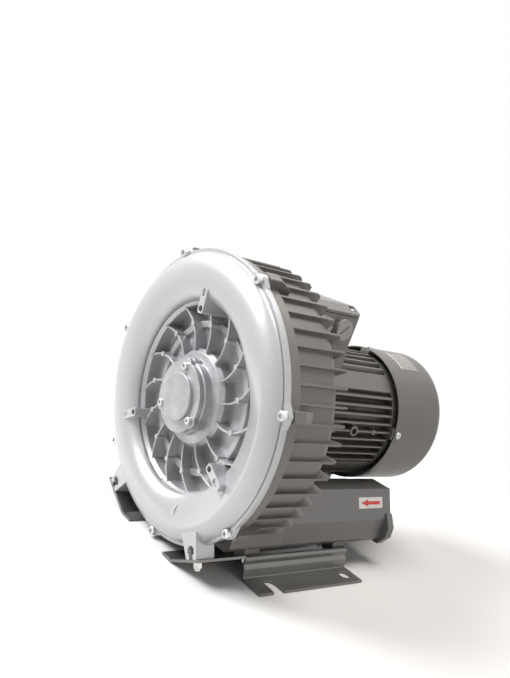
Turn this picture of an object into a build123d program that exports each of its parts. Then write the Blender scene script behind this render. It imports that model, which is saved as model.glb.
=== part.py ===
"""Side channel blower: a ring blower with its motor, two silencers and two feet.

Built about the shaft: the shaft runs along +Y, the front cover faces -Y, +X is to the right
of someone facing the cover and +Z is up.  Millimetres.  Every piece is moved to the
foot frame on export: the origin is the middle of the foot bolt pattern, on the floor.
"""

from build123d import *
from math import asin, atan2, cos, degrees, radians, sin, sqrt, tan
import os

# ---- driving dimensions -------------------------------------------------------------
# overall
foot_rise = 21.5             # middle of the sloping foot panel above the floor
fit_gap = 0.05               # between two pieces of one body that slip together
running_gap = 0.6            # impeller to casing
turn_gap = 0.04              # balls to the fixed ring

# cover screws, rim and ring
rim_margin = 2.5             # cover screws outside the fin tips
rim_thickness = 6.0
rim_front = 3.0              # y of the flange's front face
screw_count = 7
cover_screw_d = 6.0
ring_offset = 1.2            # crest of the ring outside the middle of the channel
ring_wall = 7.2
ring_crest = -10.6           # y of the crest of the ring
casting_wall = 5.0
crease_offset = 9.0          # outer edge of the ring's flattened inner side, from the crest
crease_y = -9.5
flat_lip_y = 8.5             # where the flat meets the lip
flat_from = -117.0           # the flat runs from here, under the machine, up to the top post
flat_to = 87.0
scoop_x = -17.0              # end of the flat: only what is below and right of this corner
scoop_z = -114.0
lip_wall = 6.0
lip_front = 10.0

# cover centre: web, ribs, posts and hub
web_front = 26.0
web_thickness = 4.0
rib_count = 15
rib_thickness = 2.0
rib_front = 8.0
pad_radius = 3.0
pad_circle = 81.5
band_half = 3.7              # raised band of the web under the pads
step_height = 4.0            # each step of the web, going in
post_count = 3
post_hole_circle = 96.8
post_front = -9.2
post_width = 10.0
post_hole_d = 6.8
post_hole_depth = 15.0
hub_radius = 41.0
hub_front = -3.5
collar_radius = 54.0
collar_front = 10.0

# bearing cap
cap_flange_radius = 39.0
cap_flange_thickness = 5.0
cap_boss_radius = 26.3
cap_boss_height = 4.0
cap_screw_circle = 33.9
cap_screw_d = 5.0

# feet and the lugs that stand on them
lug_front = -8.0
lug_depth = 23.0
lug_tilt = 28.0              # slope of the lug's end face and of the foot panel
lug_centre_x = 92.0
lug_centre_z = -146.5
lug_width = 18.0
lug_slot = 6.5
foot_sheet = 3.0
foot_front = -8.0
foot_rail_front = 54.0
foot_length = 157.0
foot_web_x = 106.0
foot_tip_x = 141.0
foot_inner_x = 40.0
foot_bolt_x = 125.0
foot_bolt_front = 81.0
foot_bolt_pitch = 115.0
foot_bolt_d = 15.0

# housing
gasket_thickness = 1.0
housing_wall = 6.4
collar_band = 13.0
housing_wall_end = 69.0
fin_count = 52
fin_thickness = 2.4
fin_height = 4.5
fin_end = 90.0
housing_rise = 17.0          # how far the rear half ring stands behind the wall
housing_web = 6.0
boss_width = 12.0
boss_length = 30.0
stripper_angle = 36.0        # closed stretch of the channel between the two ports
port_window_angle = -62.0

# impeller
impeller_width = 44.0
impeller_radius = 146.0
cup_inner_radius = 112.0
cup_rim = 3.6
blade_count = 40
blade_thickness = 2.2
impeller_web = 8.0
impeller_hub_radius = 28.0

# shaft and bearings
shaft_d = 25.0
motor_shaft_d = 32.0
bearing_d = 52.0
bearing_width = 15.0
ball_d = 8.0
ball_count = 8
key_width = 8.0

# motor
frame_front = 84.0
frame_end = 250.0
frame_bore_radius = 62.0
frame_wall = 5.0
frame_fin_radius = 80.0
frame_fin_pitch = 10.0
frame_fin_thickness = 2.2
frame_pad_width = 24.0
frame_pad_radius = 78.0
stator_length = 90.0
stator_bore_radius = 38.0
air_gap = 0.5
flange_screw_circle = 74.5
flange_screw_d = 6.0
shield_screw_circle = 72.5
shield_screw_d = 5.0
neck_width = 90.0
neck_length = 76.0
neck_y = 134.0
wire_hole_radius = 9.0
boss_ring_radius = 6.0
boss_ring_y = 186.0
end_bolt_d = 6.0
end_bolt_length = 16.0
shield_thickness = 9.0
rear_bearing_front = 245.0
fan_radius = 68.0
fan_front = 284.0
fan_width = 26.0
fan_blades = 8

# fan cowl
cowl_radius = 86.0
cowl_front = 252.6
cowl_end = 343.5
cowl_sheet = 1.5
cowl_corner = 13.0
cowl_screw_y = 257.5
cowl_screw_d = 5.0
grille_slot = 4.0

# terminal box
box_front = 95.0
box_end = 173.0
box_half_width = 50.0
box_base_half_width = 46.0
box_bottom = 92.0
box_seam = 125.5
box_top = 136.5
lid_shoulder = 16.0
box_wall = 3.0
plug_y = 150.0
plug_z = 110.0
plug_radius = 12.0
plug_shank_radius = 9.8
lid_gasket = 0.8
lid_screw_d = 4.0
earth_screw_d = 4.0

# silencers
silencer_front = 98.0
silencer_end = 265.0
silencer_outer_x = 104.0
silencer_inner_x = 14.0
silencer_top = -71.0
silencer_shoulder_x = 88.0
silencer_waist = -105.0
silencer_bottom = -138.5
silencer_wall = 4.0
motor_clearance_radius = 91.0
silencer_cap = 10.0
cap_overhang = 9.0
port_x = 56.0
port_z = -109.0
port_bore_d = 44.8
port_boss_d = 58.0
foam_thickness = 9.0
rod_d = 6.0
foot_screw_d = 8.0
lug_bolt_d = 6.0
lug_bolt_y = 0.0
slot_neck = 6.5              # depth of the tee slot's neck
foam_gap = 0.3
port_boss_depth = 6.0

# ---- worked out from them -----------------------------------------------------------
rim_back = rim_front + rim_thickness
channel_inner = cup_inner_radius - 1.0
channel_outer = impeller_radius + running_gap
channel_centre = (channel_inner + channel_outer) / 2
channel_half = (channel_outer - channel_inner) / 2
wall_back_radius = cup_inner_radius - cup_rim - running_gap
lip_radius = wall_back_radius - lip_wall
housing_wall_radius = channel_outer + housing_wall
fin_tip_radius = housing_wall_radius + fin_height
rim_radius = fin_tip_radius + rim_margin
ring_crest_radius = channel_centre + ring_offset
ring_half_width = channel_half + ring_wall
crease_radius = ring_crest_radius + crease_offset
axis_height = foot_rise - lug_centre_z      # shaft above the floor
housing_front = rim_back + gasket_thickness
ring_centre_y = rim_front + 3.0
ring_rise = ring_centre_y - ring_crest
screw_step = 360.0 / screw_count
screw_angles = [-90.0 + screw_step * k for k in range(screw_count)]
thirds = [90.0 + 120.0 * k for k in range(post_count)]
rib_step = 360.0 / rib_count
impeller_front = lip_front + casting_wall - 1.0
impeller_back = impeller_front + impeller_width
impeller_mid = (impeller_front + impeller_back) / 2
web_back = web_front + web_thickness
band_front = web_front - 2 * step_height
cap_front = hub_front - cap_flange_thickness
bearing_front = hub_front + 2.5
bearing_back = bearing_front + bearing_width
bearing_radius = bearing_d / 2
shaft_radius = shaft_d / 2
foot_back = foot_rail_front + foot_length
foot_centre_y = foot_bolt_front + foot_bolt_pitch / 2
cowl_bore_radius = cowl_radius - cowl_sheet
frame_wall_radius = frame_bore_radius + frame_wall
lug_slope = tan(radians(lug_tilt))
quarter_angles = [0.0, 90.0, 180.0, 270.0]
diagonals = [45.0, 135.0, 225.0, 315.0]
collar_back = housing_front + collar_band
housing_land = impeller_back + running_gap
housing_web_back = housing_land + housing_web
channel_rise = impeller_width * 0.39
motor_seat_radius = frame_wall_radius + 16.0
earth_place = (-neck_width / 2 + 10, box_front + 14, box_bottom + box_wall)
seal_front = housing_land + 2.0
seal_back = housing_web_back + 6.0
seal_shoulder_radius = motor_shaft_d / 2 + 4.0
fin_step = 360.0 / fin_count
blade_step = 360.0 / blade_count
duct_end = silencer_front - gasket_thickness
duct_floor = housing_land + channel_rise + casting_wall
hub_start = web_front
shoulder_y = impeller_mid + impeller_web / 2 + 12.0
shaft_start = bearing_front
ball_circle = (bearing_radius + shaft_radius) / 2
rear_bearing_back = rear_bearing_front + bearing_width
fan_bore_radius = shaft_radius - 3.0
shaft_end = fan_front + fan_width + 3.0
stator_middle = (frame_front + frame_end) / 2
stator_front = stator_middle - stator_length / 2
stator_back = stator_middle + stator_length / 2


def panel_top(x):
    """Height of the sloping foot panel's upper face under the right-hand side."""
    return lug_centre_z + lug_slope * (x - lug_centre_x)


def along_shaft(sketch, start, end):
    """Extrude a sketch drawn as (x, z) from y=start to y=end."""
    return extrude(Plane.XZ.offset(-start) * sketch, amount=end - start, dir=(0, 1, 0))


def tube(outer, inner, start, end):
    """A ring about the shaft, solid where inner is zero."""
    section = Circle(outer)
    if inner > 0:
        section -= Circle(inner)
    return along_shaft(section, start, end)


def spin(*corners):
    """Turn a closed outline of (radius, y) corners about the shaft."""
    return revolve(make_face(Polyline(*corners, close=True)), Axis.Y)


def turned(solid, angle):
    """The solid turned about the shaft, from +X towards +Z."""
    return Rot(0, -angle, 0) * solid


def at_polar(radius, angle):
    """(x, z) of a point on a circle about the shaft."""
    return radius * cos(radians(angle)), radius * sin(radians(angle))


def around(solid, angles):
    """Copies of the solid at each angle."""
    return [turned(solid, angle) for angle in angles]


def pin(x, z, radius, start, end):
    """A round pin along the shaft direction at (x, z)."""
    return along_shaft(Pos(x, z) * Circle(radius), start, end)


def radial_pin(radius, y, angle, inner, outer):
    """A round pin that points away from the shaft, from one radius to another."""
    body = extrude(Plane((inner, y, 0), z_dir=(1, 0, 0)) * Circle(radius), outer - inner)
    return turned(body, angle)


def screw(shank_d, length, head_height, socket=True):
    """A screw whose head lies below y=0 and whose shank runs towards +Y."""
    head = pin(0, 0, shank_d * 0.86, -head_height, 0)
    head = fillet(head.edges().filter_by(GeomType.CIRCLE).sort_by(Axis.Y)[0], head_height * 0.3)
    if socket:
        recess = along_shaft(RegularPolygon(shank_d * 0.45, 6), -head_height, -head_height / 2)
        head -= recess
    return head + pin(0, 0, shank_d / 2, 0, length)


def group(pieces):
    """Separate solids kept together in one node."""
    return Compound(children=list(pieces))


# ---- front cover --------------------------------------------------------------------
def half_channel(centre_y, rise):
    """Outline of one side channel's cross-section; a negative rise opens towards +Y."""
    arc = EllipticalCenterArc((channel_centre, centre_y), channel_half, abs(rise),
                              start_angle=180 if rise < 0 else 0, arc_size=180)
    return make_face([arc, Line(arc @ 1, arc @ 0)])


def ring_section():
    """Half outline of the cover: rim, hollow half ring, lip and stepped web."""
    rim_rise = asin((ring_centre_y - rim_front) / ring_rise)
    crown = EllipticalCenterArc((ring_crest_radius, ring_centre_y), ring_half_width, ring_rise,
                                start_angle=180, arc_size=180 - degrees(rim_rise))
    land_y = impeller_front - running_gap
    shell = make_face([crown, Polyline(
        crown @ 1, (rim_radius, rim_front), (rim_radius, rim_back), (channel_outer, rim_back),
        (channel_outer, land_y), (wall_back_radius, land_y), (wall_back_radius, web_back),
        (collar_radius - 8, web_back), (collar_radius - 8, web_front - step_height),
        (pad_circle - band_half - 1, web_front - step_height), (pad_circle - band_half, band_front),
        (pad_circle + band_half, band_front), (pad_circle + band_half + 1, web_front),
        (lip_radius, web_front), (lip_radius, lip_front), crown @ 0)])
    above = make_face(Polyline((channel_inner, rim_back), (channel_outer, rim_back), (channel_outer, land_y),
                               (channel_inner, land_y), close=True))
    return shell - above


def before_flat(depth):
    """Everything in front of the ring's flat, moved back by depth, over the flat's stretch."""
    slope = (flat_lip_y - crease_y) / (crease_radius - lip_radius)
    inner = lip_radius - 1
    front = ring_crest - 10
    outline = Polyline((crease_radius, crease_y + depth), (inner, crease_y + depth + slope * (crease_radius - inner)),
                       (inner, front), (crease_radius, front), close=True)
    sector = turned(revolve(make_face(outline), Axis.Y, flat_to - flat_from), flat_to)
    kept = Pos(scoop_x - crease_radius / 2, 0, scoop_z + crease_radius / 2) * Box(
        crease_radius, 4 * ring_rise, crease_radius)
    return sector - kept


def channel_room():
    """The half of the side channel in the cover; behind the flat it is narrower."""
    hollow = revolve(half_channel(rim_back, -(rim_back - ring_crest - casting_wall)), Axis.Y)
    return hollow - before_flat(casting_wall)


def hub():
    """Bearing housing in the middle of the cover, with its rounded collar."""
    body = spin((0, hub_front), (hub_radius - 1, hub_front), (hub_radius, hub_front + 1),
                (hub_radius, collar_front - 4), (collar_radius - 4, collar_front - 2),
                (collar_radius, collar_front + 3), (collar_radius, web_back - 2), (0, web_back - 2))
    bosses = [pin(*at_polar(cap_screw_circle, a), cap_screw_d * 2, hub_front, collar_front) for a in thirds]
    seat = spin((0, hub_front - 1), (bearing_radius, hub_front - 1), (bearing_radius, bearing_back),
                (bearing_radius - 5, bearing_back), (bearing_radius - 5, web_back), (0, web_back))
    clear = tube(impeller_hub_radius + 4, 0, bearing_back + 5, web_back)
    holes = [pin(*at_polar(cap_screw_circle, a), cap_screw_d / 2, hub_front - 1, hub_front + 14) for a in thirds]
    return (body + bosses) - seat - clear - holes


def swept_rib():
    """One thin rib that leans as it runs from the hub to the lip."""
    inner = at_polar(collar_radius - 2, -4.0)
    middle = at_polar(pad_circle, 0.0)
    outer = at_polar(lip_radius + 2, 9.5)
    path = ThreePointArc(inner, middle, outer)
    strip = trace(path, line_width=rib_thickness)
    rib = along_shaft(strip, rib_front, web_front)
    return rib + pin(*middle, pad_radius, rib_front - 1, web_front)


def post():
    """A threaded fixing post that stands level with the ring."""
    inner = post_hole_circle - 5.0
    outer = ring_crest_radius - 8.0
    length = outer - inner
    face = Pos((inner + outer) / 2, 0) * RectangleRounded(length, post_width, post_width * 0.3)
    body = along_shaft(face, post_front, web_front)
    hole = pin(post_hole_circle, 0, post_hole_d / 2, post_front, post_front + post_hole_depth)
    relief = Pos(outer - 8, 0) * RectangleRounded(9, post_width - 4, 2)
    return body, hole + along_shaft(relief, post_front, post_front + 1.5)


def ear(depth_start, depth_end, reach):
    """Pointed ear round a cover screw, at angle zero."""
    tip = Circle(cover_screw_d)
    root = Pos(-reach / 2, 0) * Rectangle(reach, 4.2 * cover_screw_d)
    shape = make_hull((tip + root).edges())
    return along_shaft(Pos(rim_radius, 0) * shape, depth_start, depth_end)


def lug(side):
    """Foot lug of the cover, with a tee slot for the foot bolt; side is +1 or -1."""
    along = (cos(radians(lug_tilt)), sin(radians(lug_tilt)))
    half = lug_width / 2
    low = (lug_centre_x - along[0] * half, lug_centre_z - along[1] * half)
    high = (lug_centre_x + along[0] * half, lug_centre_z + along[1] * half)
    outline = Polyline(low, high, (rim_radius * 0.54, -rim_radius * 0.7),
                       (rim_radius * 0.38, -rim_radius * 0.78), close=True)
    body = along_shaft(make_face(outline), lug_front, lug_front + lug_depth)
    slot = Rectangle(lug_slot, 28) + Pos(0, 9) * Rectangle(lug_slot + 5, 6)
    placed = Pos(lug_centre_x, lug_centre_z) * Rot(0, 0, lug_tilt) * slot
    body -= along_shaft(placed, lug_front - 1, lug_front + lug_depth + 1)
    return body if side > 0 else mirror(body, Plane.YZ)


def make_front_cover():
    cover = revolve(ring_section(), Axis.Y) - before_flat(0)
    cover += hub()
    cover += around(swept_rib(), [90 + rib_step * k - 1 for k in range(rib_count)])
    body, cuts = post()
    cover += around(body, thirds)
    cover -= channel_room()
    cover -= tube(channel_outer, wall_back_radius, impeller_front - running_gap, web_back + 1)
    cover -= tube(channel_outer, channel_inner, rim_back, impeller_front)
    cover += around(ear(rim_front, rim_back, 14), screw_angles)
    lugs = [lug(side) for side in (1, -1)]
    casing_room = tube(fin_tip_radius + 1, 0, rim_front + 1, lug_front + lug_depth + 1)
    cover += [each - casing_room for each in lugs]
    cover += turned(revolve(half_channel(rim_back, -(rim_back - ring_crest - casting_wall)), Axis.Y,
                            stripper_angle), -90 + stripper_angle / 2)
    cover -= around(cuts, thirds)
    cover -= around(pin(rim_radius, 0, cover_screw_d / 2 + fit_gap, 0, 20), screw_angles)
    return cover



# ---- bearing cap and its screws -----------------------------------------------------
def make_bearing_cap():
    face_y = cap_front - cap_boss_height
    cap = tube(cap_flange_radius, 0, cap_front, hub_front)
    cap += [pin(*at_polar(cap_screw_circle, a), cap_screw_d * 1.8, cap_front, hub_front) for a in thirds]
    boss = tube(cap_boss_radius, 0, face_y, cap_front)
    cap += fillet(boss.edges().filter_by(GeomType.CIRCLE).sort_by(Axis.Y)[0], 1.2)
    cap += tube(bearing_radius - fit_gap, bearing_radius - 6, hub_front, bearing_front)
    cap -= tube(bearing_radius - 6, 0, cap_front - 1, bearing_front + 1)
    cap -= [pin(*at_polar(cap_screw_circle, a), cap_screw_d / 2 + fit_gap, face_y, hub_front + 1) for a in thirds]
    return cap


# ---- housing ------------------------------------------------------------------------
def housing_section():
    """Half outline, still filled: collar, wall, rear half ring, flat web and the motor seat."""
    crown = EllipticalCenterArc((channel_centre, housing_wall_end), housing_wall_radius - channel_centre,
                                housing_rise, start_angle=0, arc_size=180)
    return make_face([crown, Polyline(
        crown @ 1, (2 * channel_centre - housing_wall_radius, housing_web_back),
        (motor_seat_radius, housing_web_back), (motor_seat_radius, frame_front),
        (frame_bore_radius, frame_front), (frame_bore_radius, housing_web_back),
        (bearing_radius + 8, housing_web_back), (bearing_radius + 8, seal_back),
        (bearing_radius, seal_back), (bearing_radius, seal_front),
        (seal_shoulder_radius, seal_front), (seal_shoulder_radius, housing_front),
        (fin_tip_radius, housing_front), (fin_tip_radius, collar_back),
        (housing_wall_radius, collar_back + 2), crown @ 0)])


def housing_fin():
    """One cooling fin; behind the wall it narrows to a three-cornered gusset."""
    root = housing_wall_radius - 3
    start = housing_front + collar_band - 1
    outline = make_face(Polyline((root, start), (fin_tip_radius, start), (fin_tip_radius, fin_end - 4),
                                 (fin_tip_radius - 3, fin_end), (root - 1, fin_end),
                                 (channel_centre + 5, fin_end - 5), (channel_centre + 5, fin_end - 9),
                                 (root, housing_wall_end - 3), close=True))
    return extrude(outline, fin_thickness / 2, both=True)


def screw_boss():
    """Wedge-shaped boss that a cover screw goes into, at angle zero."""
    body = along_shaft(Pos(rim_radius - 4, 0) * RectangleRounded(22, boss_width, 1),
                       housing_front, housing_front + boss_length)
    taper = extrude(make_face(Polyline((rim_radius - 2, housing_front + boss_length + 1),
                                       (rim_radius + 8, housing_front + 12),
                                       (rim_radius + 8, housing_front + boss_length + 1), close=True)),
                    boss_width, both=True)
    return body - taper


def silencer_outline(shrink=0.0):
    """Cross-section of the right silencer; its top follows the round motor above it."""
    bottom = silencer_bottom + shrink
    top = silencer_top - shrink
    outer = silencer_outer_x - shrink
    inner = silencer_inner_x + shrink
    round_top = motor_clearance_radius + shrink
    near = (sqrt(round_top ** 2 - top ** 2), top)
    far = (inner, -sqrt(round_top ** 2 - inner ** 2))
    between = at_polar(round_top, degrees((atan2(near[1], near[0]) + atan2(far[1], far[0])) / 2))
    arc = ThreePointArc(near, between, far)
    rest = Polyline(far, (inner, bottom), (outer - 8, bottom), (outer, bottom + 8), (outer, silencer_waist),
                    (silencer_shoulder_x - shrink / 2, top), near)
    return make_face([arc, rest])


def rod_places():
    """Where the four long rods of the right silencer stand, as (x, z)."""
    edge = silencer_wall + 4.5
    low = silencer_bottom + edge
    return [(silencer_inner_x + edge, low), (silencer_outer_x - edge - 2, low),
            (silencer_shoulder_x - edge, silencer_top - edge),
            (silencer_inner_x + edge, -motor_clearance_radius - edge)]


def foot_pad(start, end):
    """Wedge under the right silencer that sits on the sloping foot panel."""
    low = lug_centre_x - 9
    high = lug_centre_x + 7
    outline = Polyline((low, panel_top(low)), (high, panel_top(high)), (high, silencer_bottom + 3),
                       (low, silencer_bottom + 3), close=True)
    return along_shaft(make_face(outline), start, end)


def both_sides(solid):
    """The right-hand solid and its mirror image."""
    return [solid, mirror(solid, Plane.YZ)]


def across_panel(y, low, high, radius, x=None):
    """A round pin square to the right foot panel, from below it (low < 0) to above (high)."""
    x = lug_centre_x if x is None else x
    tilt = radians(lug_tilt)
    axis = Plane((x, y, panel_top(x)), x_dir=(0, 1, 0), z_dir=(-sin(tilt), 0, cos(tilt)))
    return extrude(axis.offset(low) * Circle(radius), high - low)


def foot_screw_places(radius, low, high, y):
    """Foot-screw shapes on both sides at one place along the foot."""
    return both_sides(across_panel(y, low, high, radius))


def rod_columns(start, end):
    """Thickened corners of the right silencer that its rods pass through."""
    outline = along_shaft(silencer_outline(), start, end)
    return [pin(x, z, rod_d / 2 + silencer_wall, start, end) & outline for x, z in rod_places()]


def make_housing():
    body = revolve(housing_section(), Axis.Y)
    body += around(housing_fin(), [fin_step * (k + 0.5) for k in range(fin_count)])
    body += around(screw_boss(), screw_angles)
    duct = along_shaft(silencer_outline(), collar_back + 6, duct_end)
    duct -= tube(motor_seat_radius + 5, 0, housing_web_back, duct_end + 1)
    pad = foot_pad(foot_rail_front + 1, foot_rail_front + 21)
    body += both_sides(duct) + both_sides(pad)
    body -= tube(channel_outer, 0, housing_front - 1, housing_land)
    body -= revolve(half_channel(housing_land, channel_rise), Axis.Y)
    body -= both_sides(along_shaft(silencer_outline(silencer_wall), duct_floor, duct_end + 1))
    for column in rod_columns(duct_floor, duct_end):
        body += both_sides(column)
    for x, z in rod_places():
        body -= both_sides(pin(x, z, rod_d / 2, duct_end - 12, duct_end + 1))
    body -= both_sides(pin(*at_polar(channel_centre, port_window_angle), channel_half - 3,
                           housing_land + 1, duct_floor + 1))
    body += turned(revolve(half_channel(housing_land, channel_rise), Axis.Y, stripper_angle),
                   -90 + stripper_angle / 2)
    body -= around(pin(rim_radius, 0, cover_screw_d / 2, housing_front - 1, housing_front + 20), screw_angles)
    body -= around(pin(flange_screw_circle, 0, flange_screw_d / 2, frame_front - 14, frame_front + 1),
                   diagonals)
    body -= foot_screw_places(foot_screw_d / 2, -1, 14, foot_rail_front + 11)
    return body


# ---- cover gasket -------------------------------------------------------------------
def make_cover_gasket():
    ring = tube(fin_tip_radius, channel_outer + 1, rim_back, housing_front)
    return ring - around(pin(rim_radius, 0, cover_screw_d / 2 + fit_gap, 0, 20), screw_angles)


# ---- impeller and what clamps it ----------------------------------------------------
def impeller_blade():
    """One radial blade of both rows, at angle zero."""
    length = impeller_radius - cup_inner_radius + 1
    plate = Pos(cup_inner_radius - 1 + length / 2, 0) * Rectangle(length, blade_thickness)
    return along_shaft(plate, impeller_front, impeller_back)


def make_impeller():
    body = spin((shaft_radius, hub_start), (impeller_hub_radius, hub_start),
                (impeller_hub_radius, impeller_mid - impeller_web / 2),
                (cup_inner_radius - cup_rim, impeller_mid - impeller_web / 2),
                (cup_inner_radius - cup_rim, impeller_front), (cup_inner_radius, impeller_front),
                (cup_inner_radius + 3, impeller_mid - 8), (impeller_radius - 6, impeller_mid - 2),
                (impeller_radius, impeller_mid - 1.2), (impeller_radius, impeller_mid + 1.2),
                (impeller_radius - 6, impeller_mid + 2), (cup_inner_radius + 3, impeller_mid + 8),
                (cup_inner_radius, impeller_back), (cup_inner_radius - cup_rim, impeller_back),
                (cup_inner_radius - cup_rim, impeller_mid + impeller_web / 2),
                (impeller_hub_radius, impeller_mid + impeller_web / 2),
                (impeller_hub_radius, shoulder_y), (shaft_radius, shoulder_y))
    body += around(impeller_blade(), [blade_step * k for k in range(blade_count)])
    slot = along_shaft(Pos(0, shaft_radius) * Rectangle(key_width, key_width * 0.9), hub_start - 1, shoulder_y + 1)
    return body - slot


def make_impeller_key():
    shape = Pos(0, shaft_radius - 0.2) * Rectangle(key_width - 0.1, key_width * 0.78)
    return along_shaft(shape, hub_start + 1, shoulder_y - 2)


def make_impeller_spacer():
    return tube(shaft_radius + 4, shaft_radius, bearing_back, hub_start)


def make_shaft():
    body = spin((0, shaft_start), (shaft_radius - 1, shaft_start), (shaft_radius, shaft_start + 1),
                (shaft_radius, shoulder_y), (motor_shaft_d / 2, shoulder_y),
                (motor_shaft_d / 2, rear_bearing_front), (shaft_radius, rear_bearing_front),
                (shaft_radius, rear_bearing_back + 1), (fan_bore_radius, rear_bearing_back + 1),
                (fan_bore_radius, shaft_end - 1), (fan_bore_radius - 1, shaft_end), (0, shaft_end))
    keyway = Pos(0, shaft_radius - 0.2) * Rectangle(key_width, key_width * 0.8)
    body -= along_shaft(keyway, hub_start + 1, shoulder_y - 2)
    return body - pin(0, 0, end_bolt_d / 2, shaft_start - 1, shaft_start + end_bolt_length)


def make_shaft_end_washer():
    return tube(shaft_radius + 3.5, end_bolt_d / 2, shaft_start - 3, shaft_start)


def make_shaft_end_bolt():
    return Pos(0, shaft_start - 3, 0) * screw(end_bolt_d, end_bolt_length, 4.0)


# ---- bearings and seal --------------------------------------------------------------
def race(start, outer):
    """Grooved ring of a ball bearing: the fixed outer one, or the turning inner one."""
    middle = start + bearing_width / 2
    if outer:
        body = tube(bearing_radius - fit_gap, ball_circle + ball_d * 0.3, start, start + bearing_width)
        groove = ball_d / 2 + turn_gap
    else:
        body = tube(ball_circle - ball_d * 0.3, shaft_radius, start, start + bearing_width)
        groove = ball_d / 2
    return body - Pos(0, middle, 0) * Rot(90, 0, 0) * Torus(ball_circle, groove)


def balls(start):
    middle = start + bearing_width / 2
    ball = Pos(ball_circle, middle, 0) * Sphere(ball_d / 2)
    return group(around(ball, [360 / ball_count * k for k in range(ball_count)]))


def make_shaft_seal():
    body = tube(bearing_radius - fit_gap, bearing_radius - 4, seal_front, seal_back - 1)
    return body + tube(bearing_radius - 4, motor_shaft_d / 2 + 0.3, seal_front, seal_front + 3)


def make_wave_washer():
    return tube(bearing_radius - 1, bearing_radius - 5, rear_bearing_back, rear_bearing_back + 1.2)


# ---- motor --------------------------------------------------------------------------
def frame_fins():
    """Straight parallel fins: level at the sides, upright below and above."""
    reach = 2 * frame_fin_radius + 4
    rows = [frame_fin_pitch * k for k in range(-4, 5)]
    level = [Pos(0, row) * Rectangle(reach, frame_fin_thickness) for row in rows]
    upright = [Pos(row, 0) * Rectangle(frame_fin_thickness, reach) for row in rows]
    sides = Circle(frame_fin_radius) & (Rot(0, 0, 45) * Rectangle(3, 3) + level)
    return sides, Circle(frame_fin_radius) & (Rot(0, 0, 45) * Rectangle(3, 3) + upright)


def make_motor_frame():
    level, upright = frame_fins()
    half = frame_fin_radius * 0.7
    beside = [Pos(s * (half + 30), 0) * Rectangle(60, 2 * half) for s in (-1, 1)]
    above = [Pos(0, s * (half + 30)) * Rectangle(2 * half, 60) for s in (-1, 1)]
    pads = [Rot(0, 0, 45 + a) * Pos(frame_bore_radius + (frame_pad_radius - frame_bore_radius) / 2, 0)
            * Rectangle(frame_pad_radius - frame_bore_radius, frame_pad_width) for a in quarter_angles]
    section = Circle(frame_wall_radius) + [level & side for side in beside] + [upright & side for side in above]
    section += pads
    body = along_shaft(section - Circle(frame_bore_radius), frame_front + 8, frame_end)
    body += tube(motor_seat_radius, frame_bore_radius, frame_front, frame_front + 8)
    neck = Pos(0, neck_y, (box_bottom + frame_bore_radius) / 2) * Box(
        neck_width, neck_length, box_bottom - frame_bore_radius)
    body += neck
    body += radial_pin(boss_ring_radius, boss_ring_y, 0, frame_wall_radius - 1, frame_fin_radius + 1)
    body += radial_pin(boss_ring_radius, boss_ring_y, 180, frame_wall_radius - 1, frame_fin_radius + 1)
    body += [radial_pin(3.0, boss_ring_y + s * 34, a, frame_wall_radius - 1, frame_fin_radius + 1)
             for s in (-1, 1) for a in (0, 180)]
    body -= [radial_pin(boss_ring_radius - 2, boss_ring_y, a, frame_fin_radius - 5, frame_fin_radius + 2)
             for a in (0, 180)]
    body -= tube(frame_bore_radius, 0, frame_front - 1, frame_end + 1)
    body -= Pos(0, neck_y, box_bottom / 2) * Cylinder(wire_hole_radius, box_bottom)
    body -= around(pin(flange_screw_circle, 0, flange_screw_d / 2 + fit_gap, frame_front - 1, frame_front + 9),
                   diagonals)
    body -= around(pin(shield_screw_circle, 0, shield_screw_d / 2, frame_end - 12, frame_end + 1), diagonals)
    head_room = pin(flange_screw_circle, 0, flange_screw_d + 0.5, frame_front + 8, frame_front + 30)
    return body - around(head_room, diagonals)


def make_stator_core():
    return tube(frame_bore_radius - fit_gap, stator_bore_radius, stator_front, stator_back)


def make_windings():
    """The two end turns of the stator winding."""
    outer = frame_bore_radius - 5
    inner = stator_bore_radius + 4
    coil = spin((inner, stator_front), (inner, stator_front - 12), (inner + 4, stator_front - 17),
                (outer - 4, stator_front - 17), (outer, stator_front - 12), (outer, stator_front))
    other = mirror(coil, Plane.XZ.offset(-(stator_front + stator_back) / 2))
    return group([coil, other])


def make_rotor_core():
    return tube(stator_bore_radius - air_gap, motor_shaft_d / 2, stator_front, stator_back)


def make_rotor_cage_rings():
    ring = tube(stator_bore_radius - air_gap - 1, motor_shaft_d / 2 + 6, stator_front - 8, stator_front)
    other = tube(stator_bore_radius - air_gap - 1, motor_shaft_d / 2 + 6, stator_back, stator_back + 8)
    return group([ring, other])


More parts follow.
